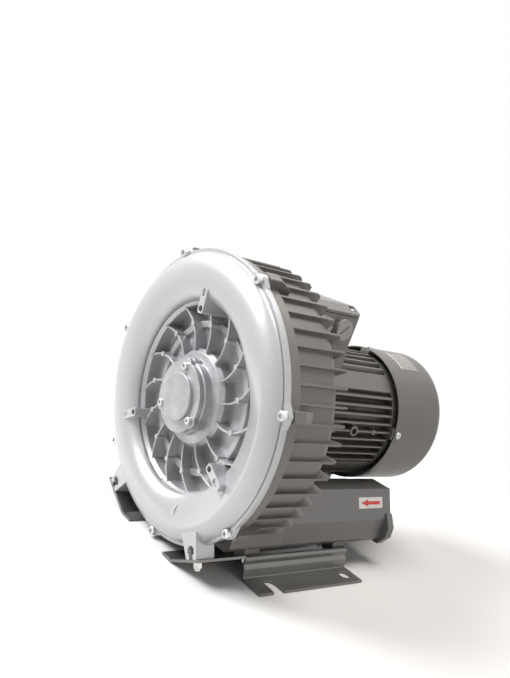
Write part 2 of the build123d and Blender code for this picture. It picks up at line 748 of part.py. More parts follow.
def make_rear_end_shield():
    boss_back = rear_bearing_back + 3.5
    body = tube(frame_pad_radius, 0, frame_end, frame_end + shield_thickness)
    body += tube(frame_bore_radius - fit_gap, frame_bore_radius - 6, frame_end - 4, frame_end)
    body += tube(bearing_radius + 6, 0, rear_bearing_front - 3, boss_back)
    ribs = Pos(50, 0) * Rectangle(44, 3)
    body += around(along_shaft(ribs, frame_end + shield_thickness - 1, boss_back), [22.5 + 45 * k for k in range(8)])
    lug_length = cowl_bore_radius - frame_pad_radius + 6
    ear_block = Pos(cowl_bore_radius - lug_length / 2 - 0.1, 0) * Rectangle(lug_length, 14)
    cowl_round = Circle(cowl_bore_radius - fit_gap)
    body += around(along_shaft(ear_block & cowl_round, frame_end, cowl_screw_y + 6), quarter_angles)
    body -= tube(bearing_radius, 0, rear_bearing_front, rear_bearing_back + 1.2)
    body -= tube(bearing_radius - 5.5, 0, rear_bearing_front - 4, boss_back + 1)
    body -= tube(bearing_radius, 0, frame_end - 8, rear_bearing_back)
    body -= around(pin(shield_screw_circle, 0, shield_screw_d / 2 + fit_gap, frame_end - 1, cowl_screw_y + 9),
                   diagonals)
    hole = radial_pin(cowl_screw_d / 2, cowl_screw_y, 0, cowl_bore_radius - 11, cowl_bore_radius + 1)
    return body - around(hole, quarter_angles)


def make_cooling_fan():
    body = tube(fan_bore_radius + 8, fan_bore_radius, fan_front, fan_front + fan_width)
    body += tube(fan_radius, fan_bore_radius, fan_front, fan_front + 3)
    blade = Pos((fan_radius + fan_bore_radius + 7) / 2, 0) * Rectangle(fan_radius - fan_bore_radius - 7, 2.5)
    return body + around(along_shaft(blade, fan_front, fan_front + fan_width),
                         [360 / fan_blades * k for k in range(fan_blades)])


def make_fan_clip():
    return tube(fan_bore_radius + 3, fan_bore_radius, fan_front + fan_width, fan_front + fan_width + 1.5)


def cowl_slots(inner, outer, count):
    """A ring of radial slots through the back of the cowl."""
    slot = Pos((inner + outer) / 2, 0) * SlotOverall(outer - inner, grille_slot)
    cut = along_shaft(slot, cowl_end - cowl_sheet - 1, cowl_end + 1)
    return around(cut, [360 / count * (k + 0.5) for k in range(count)])


def make_fan_cowl():
    outer = spin((0, cowl_front), (cowl_radius, cowl_front), (cowl_radius, cowl_end), (0, cowl_end))
    outer = fillet(outer.edges().filter_by(GeomType.CIRCLE).sort_by(Axis.Y)[-1], cowl_corner)
    inner = spin((0, cowl_front - 1), (cowl_bore_radius, cowl_front - 1),
                 (cowl_bore_radius, cowl_end - cowl_sheet), (0, cowl_end - cowl_sheet))
    inner = fillet(inner.edges().filter_by(GeomType.CIRCLE).sort_by(Axis.Y)[-1], cowl_corner - cowl_sheet)
    body = outer - inner
    body -= cowl_slots(16, 38, 16)
    body -= cowl_slots(43, 68, 32)
    hole = radial_pin(cowl_screw_d / 2 + fit_gap, cowl_screw_y, 0, cowl_bore_radius - 2, cowl_radius + 1)
    return body - around(hole, quarter_angles)


# ---- terminal box -------------------------------------------------------------------
def box_section(inset, low, high):
    """Tapered cross-section of the terminal box, as (x, z)."""
    slope = (box_half_width - box_base_half_width) / (box_seam - box_bottom)
    wide_low = box_base_half_width + slope * (low - box_bottom) - inset
    wide_high = box_base_half_width + slope * (high - box_bottom) - inset
    return make_face(Polyline((-wide_low, low), (wide_low, low), (wide_high, high), (-wide_high, high),
                              close=True))


def box_corners():
    inset = box_wall + 3.5
    return [(sx * (box_base_half_width - inset), y) for sx in (-1, 1)
            for y in (box_front + inset, box_end - inset)]


def plug_places():
    """Each cable entry: side and place along the box."""
    return [(side, y) for side in (1, -1) for y in (plug_y, plug_y - 32)]


def sideways_pin(side, y, z, radius, inner, outer):
    """A round pin that points out of one side of the terminal box."""
    body = extrude(Plane((inner, y, z), z_dir=(1, 0, 0)) * Circle(radius), outer - inner)
    return body if side > 0 else mirror(body, Plane.YZ)


def make_terminal_box():
    body = along_shaft(box_section(0, box_bottom, box_seam), box_front, box_end)
    body = fillet(body.edges().filter_by(lambda edge: abs(edge.tangent_at(0.5).Z) > 0.9), 4)
    body -= along_shaft(box_section(box_wall, box_bottom + box_wall, box_seam + 1),
                        box_front + box_wall, box_end - box_wall)
    for x, y in box_corners():
        column = Pos(x, y, (box_bottom + box_seam) / 2) * Cylinder(4.5, box_seam - box_bottom)
        body += column
        body -= Pos(x, y, box_seam) * Cylinder(lid_screw_d / 2, 24)
    for side, y in plug_places():
        body += sideways_pin(side, y, plug_z, plug_radius + 3, box_half_width - 6, box_half_width + 0.6)
        body -= sideways_pin(side, y, plug_z, plug_shank_radius + fit_gap, 30, box_half_width + 2)
    body -= Pos(*earth_place) * Cylinder(earth_screw_d / 2 + fit_gap, 4 * box_wall)
    return body - Pos(0, neck_y, box_bottom) * Cylinder(wire_hole_radius, 3 * box_wall)


def lid_outline():
    return Pos(0, (box_front + box_end) / 2) * RectangleRounded(
        2 * box_half_width, box_end - box_front, 4)


def make_lid_gasket():
    rim = Pos(0, (box_front + box_end) / 2) * RectangleRounded(
        2 * box_half_width - 2, box_end - box_front - 2, 3)
    opening = Pos(0, (box_front + box_end) / 2) * RectangleRounded(
        2 * box_base_half_width - 6 * box_wall, box_end - box_front - 6 * box_wall, 3)
    holes = Sketch() + [Pos(x, y) * Circle(lid_screw_d / 2 + 0.2) for x, y in box_corners()]
    return extrude(Plane.XY.offset(box_seam) * (rim - opening - holes), lid_gasket)


def make_terminal_lid():
    low = box_seam + lid_gasket
    body = extrude(Plane.XY.offset(low) * lid_outline(), box_top - low)
    for side in (1, -1):
        edge = side * box_half_width
        wedge = make_face(Polyline((edge + side, low + 3), (edge + side, box_top + 1),
                                   (edge - side * lid_shoulder, box_top + 1),
                                   (edge - side * lid_shoulder, box_top), (edge, low + 3), close=True))
        body -= along_shaft(wedge, box_front - 1, box_end + 1)
    hollow = Pos(0, (box_front + box_end) / 2) * RectangleRounded(
        2 * (box_half_width - lid_shoulder), box_end - box_front - 6 * box_wall, 3)
    body -= extrude(Plane.XY.offset(low) * hollow, box_top - low - box_wall)
    for x, y in box_corners():
        body -= Pos(x, y, low) * Cylinder(lid_screw_d / 2 + fit_gap, 40)
        body -= Pos(x, y, low + 4 + 10) * Cylinder(lid_screw_d + 0.8, 20)
    return body


def upright_screw(shank_d, length, head_height):
    """A screw that points down from z=0, its head above."""
    return Rot(-90, 0, 0) * screw(shank_d, length, head_height)


def make_lid_screws():
    seat = box_seam + lid_gasket + 4
    return group([Pos(x, y, seat) * upright_screw(lid_screw_d - 0.2, 14, 3.0) for x, y in box_corners()])


def make_blanking_plugs():
    plugs = []
    for side, y in plug_places():
        face = box_half_width + 0.6
        plug = sideways_pin(side, y, plug_z, plug_shank_radius, box_half_width - 8, face)
        plug += sideways_pin(side, y, plug_z, plug_radius, face, face + 3.5)
        slot = Pos(side * (face + 3.5), y, plug_z) * Rot(45, 0, 0) * Box(3, plug_radius * 1.2, 1.8)
        plugs.append(plug - slot)
    return group(plugs)


def make_terminal_block():
    base = box_bottom + box_wall
    body = Pos(0, neck_y + 18, base + 6) * Box(56, 24, 12)
    walls = [Pos(x, neck_y + 18, base + 13) * Box(1.5, 24, 2) for x in (-27, -9, 9, 27)]
    body += walls
    for x in (-18, 0, 18):
        for y in (-6, 6):
            body -= Pos(x, neck_y + 18 + y, base + 8) * Cylinder(2.0 + fit_gap, 20)
    return body


def make_terminal_studs():
    base = box_bottom + box_wall
    studs = []
    for x in (-18, 0, 18):
        for y in (-6, 6):
            nut = extrude(Plane.XY.offset(base + 12) * RegularPolygon(4.0, 6), 3)
            studs.append(Pos(x, neck_y + 18 + y, 0) * (nut + Pos(0, 0, base + 9) * Cylinder(2.0, 16)))
    return group(studs)


# ---- silencers ----------------------------------------------------------------------
def make_silencer_gasket():
    """Flat seal between the housing and the right silencer."""
    sheet = silencer_outline() - silencer_outline(silencer_wall)
    body = along_shaft(sheet, duct_end, silencer_front)
    for column in rod_columns(duct_end, silencer_front):
        body += column
    for x, z in rod_places():
        body -= pin(x, z, rod_d / 2 + fit_gap, duct_end - 1, silencer_front + 1)
    return body


def make_silencer():
    """Cast shell of the right silencer, open at both ends."""
    body = along_shaft(silencer_outline() - silencer_outline(silencer_wall), silencer_front, silencer_end)
    for column in rod_columns(silencer_front, silencer_end):
        body += column
    for x, z in rod_places():
        body -= pin(x, z, rod_d / 2 + fit_gap, silencer_front - 1, silencer_end + 1)
    pad_start = foot_bolt_front + foot_bolt_pitch - 6
    body += foot_pad(pad_start, pad_start + 20)
    return body - across_panel(pad_start + 10, -1, 14, foot_screw_d / 2)


def make_silencer_foam():
    """Sound-absorbing lining of the right silencer."""
    inset = silencer_wall + foam_gap
    body = along_shaft(silencer_outline(inset) - silencer_outline(inset + foam_thickness),
                       silencer_front + 4, silencer_end - 4)
    room = [pin(x, z, rod_d / 2 + silencer_wall + foam_gap, silencer_front, silencer_end)
            for x, z in rod_places()]
    body -= room
    body -= across_panel(foot_bolt_front + foot_bolt_pitch + 4, -1, 15, foot_screw_d / 2 + 1)
    crumb = foam_thickness ** 3
    return group([panel for panel in body.solids() if panel.volume > crumb])


def make_silencer_cap():
    """End cap of the right silencer with its pipe port; it stands proud below and outside."""
    low = silencer_bottom - 1.5
    outer = silencer_outer_x + cap_overhang
    plate = silencer_outline() + make_face(Polyline(
        (silencer_outer_x - 20, low), (silencer_outer_x - 1, low), (outer, low + 13),
        (outer, silencer_waist - 8), (silencer_outer_x, silencer_waist + 6),
        (silencer_outer_x - 20, silencer_waist + 6), close=True))
    cap_back = silencer_end + silencer_cap
    body = along_shaft(plate, silencer_end, cap_back)
    body += pin(port_x, port_z, port_boss_d / 2, silencer_end, cap_back + port_boss_depth)
    body -= pin(port_x, port_z, port_bore_d / 2, silencer_end - 1, cap_back + port_boss_depth + 1)
    for x, z in rod_places():
        body -= pin(x, z, rod_d / 2 + fit_gap, silencer_end - 1, cap_back + 1)
    return body


def make_silencer_rods():
    """Long rods that clamp cap and silencer to the housing, with hexagon heads."""
    start = duct_end - 11
    cap_back = silencer_end + silencer_cap
    rods = []
    for x, z in rod_places():
        head = along_shaft(Pos(x, z) * RegularPolygon(rod_d * 0.85, 6), cap_back, cap_back + 4)
        rods.append(head + pin(x, z, rod_d / 2, start, cap_back))
    return rods


# ---- feet ---------------------------------------------------------------------------
def foot_profile():
    """Right foot's sheet section: floor flange, web with its bead, sloping panel, inner flange."""
    half = foot_sheet / 2
    floor_z = -axis_height + half
    drop = half / cos(radians(lug_tilt))
    top_x = foot_web_x - half
    top_z = panel_top(top_x) - drop
    knee_x = lug_centre_x + (floor_z + drop - lug_centre_z) / lug_slope
    bead_z = (floor_z + top_z) / 2
    corners = [(foot_tip_x, floor_z), (foot_web_x + half, floor_z), (foot_web_x, bead_z - 1),
               (foot_web_x - 2 * half, bead_z + 3), (top_x, top_z), (knee_x, floor_z), (foot_inner_x, floor_z)]
    return corners


def sheet_section(corners, bend):
    return trace(FilletPolyline(*corners, radius=bend), line_width=foot_sheet)


def make_foot():
    """Right foot: a bent sheet rail with an arm forward under the cover's lug."""
    corners = foot_profile()
    rail = along_shaft(sheet_section(corners, 2.5), foot_rail_front, foot_back)
    arm = along_shaft(sheet_section(corners[-3:], 2.5), foot_front, foot_rail_front)
    body = rail + arm
    floor_z = -axis_height + foot_sheet / 2
    hole = Pos(foot_bolt_x, foot_bolt_front + foot_bolt_pitch, floor_z) * Cylinder(foot_bolt_d / 2, 2 * foot_sheet)
    reach = foot_tip_x - foot_bolt_x + 1
    open_slot = Pos(foot_bolt_x + reach / 2, foot_bolt_front, floor_z) * Box(reach, foot_bolt_d, 2 * foot_sheet)
    round_end = Pos(foot_bolt_x, foot_bolt_front, floor_z) * Cylinder(foot_bolt_d / 2, 2 * foot_sheet)
    body -= [hole, open_slot, round_end]
    body -= across_panel(foot_rail_front + 11, -5, 1, foot_screw_d / 2 + 0.3)
    body -= across_panel(foot_bolt_front + foot_bolt_pitch + 4, -5, 1, foot_screw_d / 2 + 0.3)
    return body - across_panel(lug_bolt_y, -5, 1, lug_bolt_d / 2 + 0.3)


def hexagon_on_panel(y, low, high, size):
    """A hexagon prism square to the right foot panel."""
    tilt = radians(lug_tilt)
    axis = Plane((lug_centre_x, y, panel_top(lug_centre_x)), x_dir=(0, 1, 0), z_dir=(-sin(tilt), 0, cos(tilt)))
    return extrude(axis.offset(low) * RegularPolygon(size, 6), high - low)


def make_lug_bolts():
    """Bolts held by their heads in the lug's tee slot, pointing down through the foot."""
    bolt = across_panel(lug_bolt_y, -foot_sheet - 9, slot_neck, lug_bolt_d / 2)
    bolt += hexagon_on_panel(lug_bolt_y, slot_neck, slot_neck + 5, lug_bolt_d * 0.75)
    return group(both_sides(bolt))


def make_lug_nuts():
    nut = hexagon_on_panel(lug_bolt_y, -foot_sheet - 6.5, -foot_sheet, lug_bolt_d * 0.8)
    nut -= across_panel(lug_bolt_y, -foot_sheet - 8, 1, lug_bolt_d / 2 + fit_gap)
    return group(both_sides(nut))


def make_foot_screws():
    """Hexagon screws that hold the housing and the silencers down on the feet."""
    screws = []
    for y in (foot_rail_front + 11, foot_bolt_front + foot_bolt_pitch + 4):
        shape = hexagon_on_panel(y, -foot_sheet - 5, -foot_sheet, foot_screw_d * 0.8)
        shape += across_panel(y, -foot_sheet, 12, foot_screw_d / 2 - fit_gap)
        screws += both_sides(shape)
    return group(screws)


# ---- fasteners ----------------------------------------------------------------------
def make_cover_screws():
    one = Pos(rim_radius, rim_front, 0) * screw(cover_screw_d, rim_thickness + 16, 5.5)
    return group(around(one, screw_angles))


def make_bearing_cap_screws():
    one = Pos(cap_screw_circle, cap_front, 0) * screw(cap_screw_d, 14, 4.0)
    return group(around(one, thirds))


def make_frame_screws():
    one = Pos(flange_screw_circle, frame_front + 8, 0) * Rot(0, 0, 180) * screw(flange_screw_d, 20, 5.0)
    return group(around(one, diagonals))


def make_shield_screws():
    one = Pos(shield_screw_circle, frame_end + shield_thickness, 0) * Rot(0, 0, 180) * screw(
        shield_screw_d, shield_thickness + 10, 4.0)
    return group(around(one, diagonals))


def make_cowl_screws():
    one = Pos(cowl_radius, cowl_screw_y, 0) * Rot(0, 0, 90) * screw(cowl_screw_d, 10, 3.0)
    return group(around(one, quarter_angles))


def make_earth_screw():
    return Pos(*earth_place) * upright_screw(earth_screw_d, box_wall - 0.5, 3.0)


# ---- every node of the assembly -----------------------------------------------------
def all_nodes():
    right = {"silencer": make_silencer(), "silencer_gasket": make_silencer_gasket(),
             "silencer_foam": make_silencer_foam(), "silencer_cap": make_silencer_cap(),
             "foot": make_foot()}
    rods = make_silencer_rods()
    nodes = {
        "front_cover": make_front_cover(),
        "bearing_cap": make_bearing_cap(),
        "bearing_cap_screws": make_bearing_cap_screws(),
        "cover_screws": make_cover_screws(),
        "cover_gasket": make_cover_gasket(),
        "housing": make_housing(),
        "impeller": make_impeller(),
        "impeller_key": make_impeller_key(),
        "impeller_spacer": make_impeller_spacer(),
        "shaft": make_shaft(),
        "shaft_end_washer": make_shaft_end_washer(),
        "shaft_end_bolt": make_shaft_end_bolt(),
        "front_bearing_outer_ring": race(bearing_front, True),
        "front_bearing_inner_ring": race(bearing_front, False),
        "front_bearing_balls": balls(bearing_front),
        "rear_bearing_outer_ring": race(rear_bearing_front, True),
        "rear_bearing_inner_ring": race(rear_bearing_front, False),
        "rear_bearing_balls": balls(rear_bearing_front),
        "bearing_wave_washer": make_wave_washer(),
        "shaft_seal": make_shaft_seal(),
        "motor_frame": make_motor_frame(),
        "frame_screws": make_frame_screws(),
        "stator_core": make_stator_core(),
        "stator_windings": make_windings(),
        "rotor_core": make_rotor_core(),
        "rotor_cage_rings": make_rotor_cage_rings(),
        "rear_end_shield": make_rear_end_shield(),
        "end_shield_screws": make_shield_screws(),
        "cooling_fan": make_cooling_fan(),
        "fan_clip": make_fan_clip(),
        "fan_cowl": make_fan_cowl(),
        "cowl_screws": make_cowl_screws(),
        "terminal_box": make_terminal_box(),
        "terminal_lid_gasket": make_lid_gasket(),
        "terminal_lid": make_terminal_lid(),
        "lid_screws": make_lid_screws(),
        "blanking_plugs": make_blanking_plugs(),
        "terminal_block": make_terminal_block(),
        "terminal_studs": make_terminal_studs(),
        "earth_screw": make_earth_screw(),
        "silencer_rods": group(rods + [mirror(rod, Plane.YZ) for rod in rods]),
        "lug_bolts": make_lug_bolts(),
        "lug_nuts": make_lug_nuts(),
        "foot_screws": make_foot_screws(),
    }
    for name, solid in right.items():
        nodes[name + "_right"] = solid
        nodes[name + "_left"] = mirror(solid, Plane.YZ)
    return nodes


os.makedirs("parts", exist_ok=True)
to_floor = Pos(0, -foot_centre_y, axis_height)
for name, solid in all_nodes().items():
    export_step(to_floor * solid, "parts/" + name + ".step")
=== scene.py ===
from math import cos, pi, radians, sin

import bpy
import numpy as np
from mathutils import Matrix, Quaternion, Vector


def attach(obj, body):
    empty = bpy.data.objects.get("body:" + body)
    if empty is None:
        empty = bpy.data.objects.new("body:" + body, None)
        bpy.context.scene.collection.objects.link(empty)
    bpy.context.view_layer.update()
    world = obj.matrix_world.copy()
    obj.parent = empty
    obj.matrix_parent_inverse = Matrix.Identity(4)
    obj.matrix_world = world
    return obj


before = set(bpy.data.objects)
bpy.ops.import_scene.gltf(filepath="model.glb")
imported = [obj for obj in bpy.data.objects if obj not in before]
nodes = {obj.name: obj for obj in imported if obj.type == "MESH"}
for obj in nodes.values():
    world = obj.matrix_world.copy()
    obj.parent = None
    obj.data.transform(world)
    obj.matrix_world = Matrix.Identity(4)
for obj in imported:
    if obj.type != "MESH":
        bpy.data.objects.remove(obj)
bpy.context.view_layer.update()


# ---- Studio --------------------------------------------------------------------------
# A pale floor that fades into a white room, a big soft lamp in front of the cover, a
# weaker one from above and a faint one from the motor side.
class Value:
    """A socket that ordinary arithmetic can be written on; each operation adds a Math node."""

    def __init__(self, finish, socket):
        self.finish = finish
        self.socket = socket

    def maths(self, operation, *others, clamp=False):
        """One Math node on this value and the others, in order."""
        inputs = dict(enumerate((self,) + others))
        return self.finish.node("ShaderNodeMath", {"operation": operation, "use_clamp": clamp}, inputs)

    def __add__(self, other):
        return self.maths("ADD", other)

    def __mul__(self, other):
        return self.maths("MULTIPLY", other)

    def __sub__(self, other):
        return self.maths("SUBTRACT", other)

    def __rsub__(self, other):
        return self.finish.node("ShaderNodeMath", {"operation": "SUBTRACT"}, {0: other, 1: self})

    def __truediv__(self, other):
        return self.maths("DIVIDE", other)

    __radd__ = __add__
    __rmul__ = __mul__

    def above(self, low, high):
        """Zero under low, one over high, and a straight climb between them."""
        return ((self - low) / (high - low)).maths("MULTIPLY", 1.0, clamp=True)

    def size(self):
        """The value without its sign."""
        return self.maths("ABSOLUTE")


class Finish:
    """A material or the room: its surface shader, and a short way to add the nodes that feed it."""

    def __init__(self, name, surface="ShaderNodeBsdfPrincipled", room=False, **plain):
        self.material = (bpy.data.worlds if room else bpy.data.materials).new(name)
        self.material.use_nodes = True
        self.tree = self.material.node_tree
        self.tree.nodes.clear()
        output = self.tree.nodes.new("ShaderNodeOutputWorld" if room else "ShaderNodeOutputMaterial")
        self.surface = self.tree.nodes.new(surface)
        self.tree.links.new(self.surface.outputs[0], output.inputs["Surface"])
        for socket, value in plain.items():
            self.feed(socket.replace("_", " "), value)

    def node(self, kind, settings=None, inputs=None, out=0):
        """Adds one node: its settings first, then the values or links of its sockets."""
        made = self.tree.nodes.new(kind)
        for name, value in (settings or {}).items():
            setattr(made, name, value)
        for name, value in (inputs or {}).items():
            self.join(made.inputs[name], value)
        return Value(self, made.outputs[out])

    def join(self, socket, value):
        """Links a Value to the socket, or writes a plain number or colour into it."""
        if isinstance(value, Value):
            self.tree.links.new(value.socket, socket)
        elif isinstance(value, tuple) and len(value) == 3 and socket.type == "RGBA":
            socket.default_value = (*value, 1.0)
        else:
            socket.default_value = value

    def feed(self, socket, value):
        """Links a Value, or writes a plain one, into a socket of the surface shader."""
        self.join(self.surface.inputs[socket], value)

    def place(self):
        """Where a point is on the machine, in metres."""
        return self.node("ShaderNodeTexCoord", out="Object")

    def noise(self, scale, detail=3.0, roughness=0.55):
        """Cloudy noise from 0 to 1, with about scale blots to the metre."""
        return self.node("ShaderNodeTexNoise", None, {"Vector": self.place(), "Scale": scale,
                                                      "Detail": detail, "Roughness": roughness})

    def seen_directly(self):
        """1 on rays from the camera and on those that gloss or glass sends on, 0 on the rest."""
        camera, gloss, glass = [self.node("ShaderNodeLightPath", out=kind) for kind in
                                ("Is Camera Ray", "Is Glossy Ray", "Is Transmission Ray")]
        return (camera + gloss + glass).maths("MINIMUM", 1.0)

    def rounded(self, radius):
        """The surface's normal, softened along edges as if they had that radius in metres."""
        return self.node("ShaderNodeBevel", {"samples": 4}, {"Radius": radius})

    def mix(self, share, first, second):
        """A colour between first and second."""
        return self.node("ShaderNodeMix", {"data_type": "RGBA"}, {0: share, 6: first, 7: second}, out=2)

    def parts(self):
        """How far a point is across, along and above the machine's origin, as three values."""
        split = self.node("ShaderNodeSeparateXYZ", None, {0: self.place()})
        return [Value(self, socket) for socket in split.socket.node.outputs]

    def bump(self, height, depth, under=None):
        """Feeds the surface a bump of that depth in metres, on top of the normal under it."""
        inputs = {"Height": height, "Distance": depth, "Strength": 1.0}
        if under:
            inputs["Normal"] = under
        bumped = self.node("ShaderNodeBump", None, inputs)
        self.feed("Normal", bumped)
        return bumped

    def paint(self, *names):
        """Gives this material to pieces, by CAD node name or as objects."""
        for name in names:
            piece = nodes[name] if isinstance(name, str) else name
            piece.data.materials.clear()
            piece.data.materials.append(self.material)


def surface(name, u, v, point, close_u=False, close_v=False):
    """A mesh whose vertices are point(u, v) over a grid; each face joins four neighbours.
    Its outer side is the one from which v runs to the left of u."""
    grid_u, grid_v = np.meshgrid(u, v, indexing="ij")
    corners = np.stack(point(grid_u, grid_v), axis=-1).reshape(-1, 3)
    index = np.arange(len(u) * len(v)).reshape(len(u), len(v))
    rows = np.append(index, index[:1], axis=0) if close_u else index
    rows = np.append(rows, rows[:, :1], axis=1) if close_v else rows
    faces = np.stack([rows[:-1, :-1], rows[1:, :-1], rows[1:, 1:], rows[:-1, 1:]], axis=-1)
    faces = faces.reshape(-1, 4)
    mesh = bpy.data.meshes.new(name)
    mesh.from_pydata(corners, [], faces)
    mesh.polygons.foreach_set("use_smooth", np.ones(len(faces), dtype=bool))
    mesh.update()
    piece = bpy.data.objects.new(name, mesh)
    bpy.context.scene.collection.objects.link(piece)
    return piece


floor_reach = 6.0
floor_drop = 0.0003                     # under the feet, so that the two don't flicker
fade_start, fade_end = 0.32, 0.85       # distance from the machine at which the floor turns white


def floor_point(x, y):
    """A flat sheet: u and v are the point's own x and y."""
    return x, y, 0 * x - floor_drop


edges = np.linspace(-floor_reach, floor_reach, 3)
floor = surface("studio_floor", edges, edges, floor_point)
pale = Finish("pale_floor", "ShaderNodeMixShader")
across, along, _ = pale.parts()
distance = (across * across + along * along).maths("SQRT")
pale.feed(0, distance.above(fade_start, fade_end) * pale.seen_directly())
pale.feed(1, pale.node("ShaderNodeBsdfDiffuse", None, {"Color": (0.9, 0.9, 0.9)}))
pale.feed(2, pale.node("ShaderNodeEmission", None, {"Color": (1.0, 1.0, 1.0), "Strength": 1.0}))
pale.paint(floor)

room = Finish("white_room", "ShaderNodeMixShader", room=True)
room.feed(0, room.seen_directly())
room.feed(1, room.node("ShaderNodeBackground", None, {"Color": (0.93, 0.96, 1.0), "Strength": 0.16}))
room.feed(2, room.node("ShaderNodeBackground", None, {"Color": (1.0, 1.0, 1.0), "Strength": 1.0}))
bpy.context.scene.world = room.material


def soft_lamp(name, place, target, width, height, power, tint=(1.0, 1.0, 1.0)):
    """A rectangular lamp at place that faces target; power in watts."""
    lamp = bpy.data.lights.new(name, "AREA")
    lamp.shape = "RECTANGLE"
    lamp.size = width
    lamp.size_y = height
    lamp.energy = power
    lamp.color = tint
    holder = bpy.data.objects.new(name, lamp)
    holder.location = place
    holder.rotation_euler = (Vector(target) - Vector(place)).to_track_quat("-Z", "Y").to_euler()
    bpy.context.scene.collection.objects.link(holder)


soft_lamp("front_lamp", (-1.0, -1.2, 1.5), (0.0, -0.1, 0.17), width=1.2, height=0.9, power=56)
soft_lamp("top_lamp", (0.1, 0.2, 1.7), (0.0, 0.0, 0.17), width=1.0, height=1.0, power=22,
          tint=(1.0, 0.96, 0.9))
soft_lamp("side_lamp", (1.7, 0.5, 0.9), (0.0, 0.05, 0.15), width=0.8, height=0.8, power=3,
          tint=(1.0, 0.88, 0.76))

lens = bpy.data.cameras.new("camera")
lens.sensor_width = 36.0
lens.lens = 37.98
lens.shift_x = -0.0295
lens.shift_y = 0.1268
camera = bpy.data.objects.new("camera", lens)
turn, rise, lean = radians(47.753), radians(13.918), radians(15.953)
back = Vector((sin(turn) * cos(rise), -cos(turn) * cos(rise), sin(rise)))
camera.location = (0.62294, -0.56791, 0.35117)
camera.rotation_mode = "QUATERNION"
camera.rotation_quaternion = (-back).to_track_quat("-Z", "Y") @ Quaternion((0, 0, 1), lean)
bpy.context.scene.collection.objects.link(camera)
bpy.context.scene.camera = camera
bpy.context.scene.view_settings.view_transform = "Standard"


# ---- Housing casting -----------------------------------------------------------------
# The housing is die-cast aluminium in a warm grey metallic paint.  The wall, its fins and
# the passages down to the silencers are one casting; dust and painted shade darken the fins' roots.
shaft_height = 0.168
paint_patches, dust_and_shade_blots = 14.0, 30.0  # blots of each to the metre
paint_peel, paint_flakes = 420.0, 1900.0
peel_depth = 0.00007
patchy, flaky = (0.3, 0.7), (0.45, 0.8) # noise at which a patch or a flake begins and is full
wear_and_highlight_bend, wear_and_highlight_patches = (0.02, 0.28), (0.42, 0.62)      # and how bent an edge is where wear and a painted highlight lighten it, and where


def toned(colour, gain, lift=0.0):
    """The colour times gain, plus lift, and no brighter than white."""
    return tuple(min(1.0, gain * part + lift) for part in colour)


def cast_paint(name, colour, dust_and_shade_colour, metallic=0.55, roughness=0.36, edge=0.0012, dust_and_shade_reach=(0.122, 0.15)):
    """Metallic paint: fine flake, cloudy patches, edges softened to that radius, worn and lightened as a
    painted highlight.
    It has dust and painted shade inside the first distance from the shaft and none beyond the second."""
    coat = Finish(name, Metallic=metallic, Coat_Weight=0.18, Coat_Roughness=0.22)
    clouds = coat.noise(paint_patches, 4.0)
    flake = coat.noise(paint_flakes, 1.0)
    peel = coat.noise(paint_peel, 2.0)
    rounded = coat.rounded(edge)
    flat = coat.node("ShaderNodeNewGeometry", out="Normal")
    bend = coat.node("ShaderNodeVectorMath", {"operation": "DOT_PRODUCT"}, {0: rounded, 1: flat},
                     out="Value")
    # Edges lightened in patches: partly wear, partly a painted highlight on fin tips and folds.
    wear_and_highlight_mask = (1.0 - bend).above(*wear_and_highlight_bend) * clouds.above(*wear_and_highlight_patches)
    across, _, up = coat.parts()
    height = up - shaft_height
    out = (across * across + height * height).maths("SQRT")
    # Darker in patches near the shaft: dust, and painted shade between the fins and ribs.
    dust_and_shade_mask = (1.0 - out.above(*dust_and_shade_reach)) * coat.noise(dust_and_shade_blots, 4.0).above(*patchy)
    base = coat.mix(clouds.above(*patchy) * 0.5, colour, toned(colour, 0.86))
    base = coat.mix(flake.above(*flaky) * 0.35, base, toned(colour, 1.25, 0.05))
    # Mixes in the painted shade with dust near the shaft.
    base = coat.mix(dust_and_shade_mask * 0.55, base, dust_and_shade_colour)
    # Painted highlight with wear along the edges.
    base = coat.mix(wear_and_highlight_mask * 0.6, base, toned(colour, 1.2, 0.12))
    coat.feed("Base Color", base)
    coat.feed("Roughness", roughness + clouds * 0.12 + dust_and_shade_mask * 0.2)
    coat.bump(peel * 0.8 + flake * 0.2, peel_depth, rounded)
    return coat


housing_paint = cast_paint("warm_grey_casting_paint", (0.175, 0.165, 0.155),
                           (0.07, 0.066, 0.062), metallic=0.3)
housing_paint.paint("housing")


# ---- Front cover ---------------------------------------------------------------------
# One aluminium casting in bright silver paint: the half-round ring that closes the side
# channel, fifteen thin ribs, three threaded posts and the hub that holds the front bearing.
# A skin over the ring keeps it round up to the scoop between the two ports.
# Near the hub and among the ribs, the second colour is painted shade with dust.
cover_paint = cast_paint("bright_silver_cover_paint", (0.5, 0.505, 0.515), (0.11, 0.113, 0.122),
                         metallic=0.45, roughness=0.27, dust_and_shade_reach=(0.06, 0.106))
ring_middle = (0.130, -0.1325)          # radius and depth of the middle of the ring's section
ring_reach = (0.025, 0.0272)            # from there to the inner and to the outer edge
ring_rise = 0.0166
ring_end = radians(169.5)
ring_skin = (-0.00015, 0.0015)          # the skin's face and its hidden back, from the casting
crease_radius = 0.139                   # the scoop's cone meets the ring here, this far forward,
crease_depth = -0.148                   # and climbs inwards with this slope
flat_slope = 0.484
scoop_across = (-0.014, 0.06)           # where the scoop begins and is full, across the machine
scoop_turn = (radians(0), radians(45))  # and where it has its full depth and none, up the side


def smooth(value, start, end):
    """0 before start, 1 after end, and an S-shaped climb between."""
    share = np.clip((value - start) / (end - start), 0.0, 1.0)
    return share * share * (3 - 2 * share)


